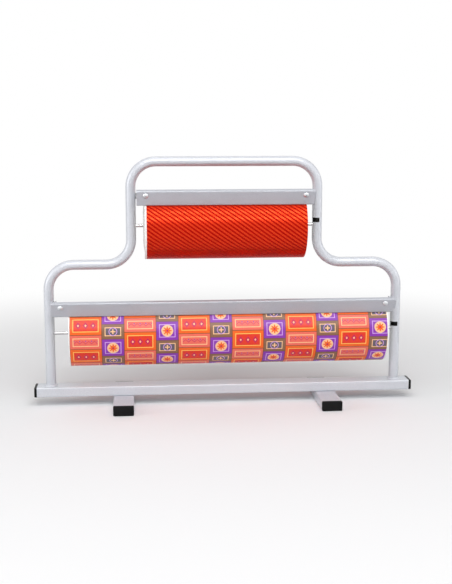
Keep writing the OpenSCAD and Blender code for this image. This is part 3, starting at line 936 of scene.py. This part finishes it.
def turned(profile):
    """A solid turned about +Z, from radii and heights that start and end on the axis."""
    shape = bmesh.new()
    verts, edges = outline(shape, [(radius, 0, height) for radius, height in profile])
    bmesh.ops.spin(
        shape, geom=verts + edges, cent=(0, 0, 0), axis=(0, 0, 1), angle=2 * math.pi,
        steps=turned_steps, use_merge=True,
    )
    bmesh.ops.remove_doubles(shape, verts=shape.verts, dist=merge_reach)
    bmesh.ops.recalc_face_normals(shape, faces=shape.faces)
    return shape


def carved(shape, tool, operation):
    """What a boolean operation leaves of a shape. The shape and the tool are used up."""
    scraps = []
    for part in (shape, tool):
        mesh = bpy.data.meshes.new("scrap")
        part.to_mesh(mesh)
        part.free()
        scrap = bpy.data.objects.new("scrap", mesh)
        scene.collection.objects.link(scrap)
        scraps.append(scrap)
    change = scraps[0].modifiers.new("carve", "BOOLEAN")
    change.operation = operation
    change.solver = "EXACT"
    change.object = scraps[1]
    result = bmesh.new()
    result.from_object(scraps[0], bpy.context.evaluated_depsgraph_get())
    for scrap in scraps:
        mesh = scrap.data
        bpy.data.objects.remove(scrap)
        bpy.data.meshes.remove(mesh)
    bmesh.ops.remove_doubles(result, verts=result.verts, dist=speck)
    bmesh.ops.dissolve_degenerate(result, edges=result.edges, dist=speck)
    many_sided = [face for face in result.faces if len(face.verts) > 4]
    bmesh.ops.triangulate(result, faces=many_sided, quad_method="BEAUTY", ngon_method="BEAUTY")
    return result


def pan_screw(head_d, head_h, shank_d, plain, length):
    """A screw with its head's underside at the origin and its head towards +Z."""
    head_r, shank_r = head_d / 2, shank_d / 2
    rim_h = rim_share * head_h
    dome_h = head_h - rim_h
    dome_r = (head_r ** 2 + dome_h ** 2) / (2 * dome_h)
    spread = math.asin(head_r / dome_r)
    angles = [spread * i / dome_steps for i in range(dome_steps + 1)]
    profile = [(dome_r * math.sin(a), head_h - dome_r * (1 - math.cos(a))) for a in angles]
    profile += [(head_r, rim_round), (head_r - rim_round, 0), (shank_r, 0), (shank_r, -plain)]
    ridges = int((length - plain - thread_end) / thread_pitch)
    for ridge in range(ridges):
        top = -plain - ridge * thread_pitch
        profile += [(shank_r - thread_depth, top - thread_pitch / 2), (shank_r, top - thread_pitch)]
    tip_r = shank_r - thread_depth
    profile += [(tip_r, -length + thread_depth), (tip_r - thread_depth, -length), (0, -length)]
    screw = turned(profile)
    for turn in (0, 90):
        wedge = bmesh.new()
        size = Matrix.Diagonal((recess_reach, recess_t, 2 * recess_depth, 1))
        bmesh.ops.create_cube(wedge, size=1, matrix=size)
        foot = [v for v in wedge.verts if v.co.z < 0]
        bmesh.ops.scale(wedge, vec=(recess_taper, recess_taper, 1), verts=foot)
        aim = Matrix.Translation((0, 0, head_h)) @ Matrix.Rotation(math.radians(turn), 4, "Z")
        bmesh.ops.transform(wedge, matrix=aim, verts=wedge.verts)
        screw = carved(screw, wedge, "DIFFERENCE")
    return screw


def hexagon_nut():
    """A nut that stands on the origin, its corners rounded off and its bore countersunk."""
    corner_r = nut_flats / 2 / math.cos(math.pi / 6)
    slope_h = (corner_r + rim_round - nut_face_r) * math.tan(math.pi / 6)
    nut = bmesh.new()
    upright = Matrix.Translation((0, 0, nut_h / 2)) @ Matrix.Rotation(math.pi / 6, 4, "Z")
    bmesh.ops.create_cone(
        nut, cap_ends=True, segments=6, radius1=corner_r, radius2=corner_r, depth=nut_h,
        matrix=upright,
    )
    rounding = turned([
        (0, -rim_round), (nut_face_r - rim_round, -rim_round), (nut_face_r, 0),
        (corner_r + rim_round, slope_h), (corner_r + rim_round, nut_h - slope_h),
        (nut_face_r, nut_h), (nut_face_r - rim_round, nut_h + rim_round), (0, nut_h + rim_round),
    ])
    nut = carved(nut, rounding, "INTERSECT")
    wide_r = nut_bore_r + 2 * nut_countersink
    drill = turned([
        (0, -nut_countersink), (wide_r, -nut_countersink), (nut_bore_r, nut_countersink),
        (nut_bore_r, nut_h - nut_countersink), (wide_r, nut_h + nut_countersink),
        (0, nut_h + nut_countersink),
    ])
    return carved(nut, drill, "DIFFERENCE")


def set_in(shape, places):
    """Copies of a finished shape at each of the places, as one shape. The first is used up."""
    pattern = bpy.data.meshes.new("pattern")
    shape.to_mesh(pattern)
    shape.free()
    whole = bmesh.new()
    for place in places:
        copy = bmesh.new()
        copy.from_mesh(pattern)
        bmesh.ops.transform(copy, matrix=place, verts=copy.verts)
        moved = bpy.data.meshes.new("moved")
        copy.to_mesh(moved)
        copy.free()
        whole.from_mesh(moved)
        bpy.data.meshes.remove(moved)
    bpy.data.meshes.remove(pattern)
    return whole


zinc, place = begin_finish("bright zinc", {"Metallic": 1.0})
zinc_cloud = place.grain(300, 3)
zinc_grain = place.grain(3000, 2)
end_finish(
    zinc,
    {
        "Base Color": zinc_cloud.colour(srgb(206, 209, 214), srgb(232, 233, 234)),
        "Roughness": 0.30 + 0.15 * zinc_cloud,
        "Normal": bump(zinc_grain, 0.00001, 0.6),
    },
)


def zinc_piece(name, node, body, shape):
    """Finishes zinc-plated fasteners, which stand for a CAD node of the same fasteners."""
    made = link_piece(name, shape, zinc_crease, zinc)
    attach(made, body)
    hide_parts(node)


sheets_t = bar_t + arm_t
bolt_length = sheets_t + nut_h + thread_end
for tier, edge in (("upper", upper_edge), ("lower", lower_edge)):
    bar_low, bar_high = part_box(tier + "_cutter_bar")
    heads = []
    nuts = []
    for x, turn in ((bar_low.x + bolt_inset, 20), (bar_high.x - bolt_inset, 65)):
        hole = Vector((x, edge.y, edge.z)) + bolt_rise * up_bar
        driven = Matrix.Rotation(math.radians(turn), 4, "Z")
        heads.append(Matrix.Translation(hole + bar_t * out_of_bar) @ facing_out @ driven)
        nuts.append(Matrix.Translation(hole - (arm_t + nut_h) * out_of_bar) @ facing_out)
    bolt = pan_screw(bolt_head_d, bolt_head_h, bolt_d, bolt_plain, bolt_length)
    nut = hexagon_nut()
    body = tier + "_cutter"
    zinc_piece(tier + "_bar_pan_bolts", tier + "_bar_bolts", body, set_in(bolt, heads))
    zinc_piece(tier + "_bar_hexagon_nuts", tier + "_bar_nuts", body, set_in(nut, nuts))


# ==== Pivot screws ====
# Shouldered screws on which the arms swing, put in from between the arms and tapped
# into the inner walls of the uprights.
pivot_head_d = 0.0095
pivot_head_h = 0.003
pivot_d = 0.005
pivot_plain = 0.0046
pivot_length = 0.0099

for tier in ("upper", "lower"):
    pivot_low, pivot_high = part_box(tier + "_pivot_screws")
    pivot_z = (pivot_low.z + pivot_high.z) / 2
    heads = []
    for x, turn in ((pivot_low.x + pivot_length, 90), (pivot_high.x - pivot_length, -90)):
        turn_in = Matrix.Rotation(math.radians(turn), 4, "Y")
        heads.append(Matrix.Translation((x, 0, pivot_z)) @ turn_in)
    pivot = pan_screw(pivot_head_d, pivot_head_h, pivot_d, pivot_plain, pivot_length)
    pivot_node = tier + "_pivot_screws"
    zinc_piece(tier + "_pivot_shouldered_screws", pivot_node, "frame", set_in(pivot, heads))


# ==== Leg screws ====
# Two pan-head screws hold each leg, put in from below through holes in its lower wall.
leg_head_d = 0.012
leg_head_h = 0.0033
leg_screw_d = 0.006
leg_screw_plain = 0.0015
leg_screw_length = 0.012

for side_name in ("left", "right"):
    screws_low, screws_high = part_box(side_name + "_leg_screws")
    x = (screws_low.x + screws_high.x) / 2
    z = screws_low.z + leg_head_h
    heads = []
    for y in (screws_low.y + leg_head_d / 2, screws_high.y - leg_head_d / 2):
        heads.append(Matrix.Translation((x, y, z)) @ Matrix.Rotation(math.pi, 4, "X"))
    leg_screw = pan_screw(leg_head_d, leg_head_h, leg_screw_d, leg_screw_plain, leg_screw_length)
    leg_node = side_name + "_leg_screws"
    zinc_piece(side_name + "_leg_pan_screws", leg_node, "frame", set_in(leg_screw, heads))
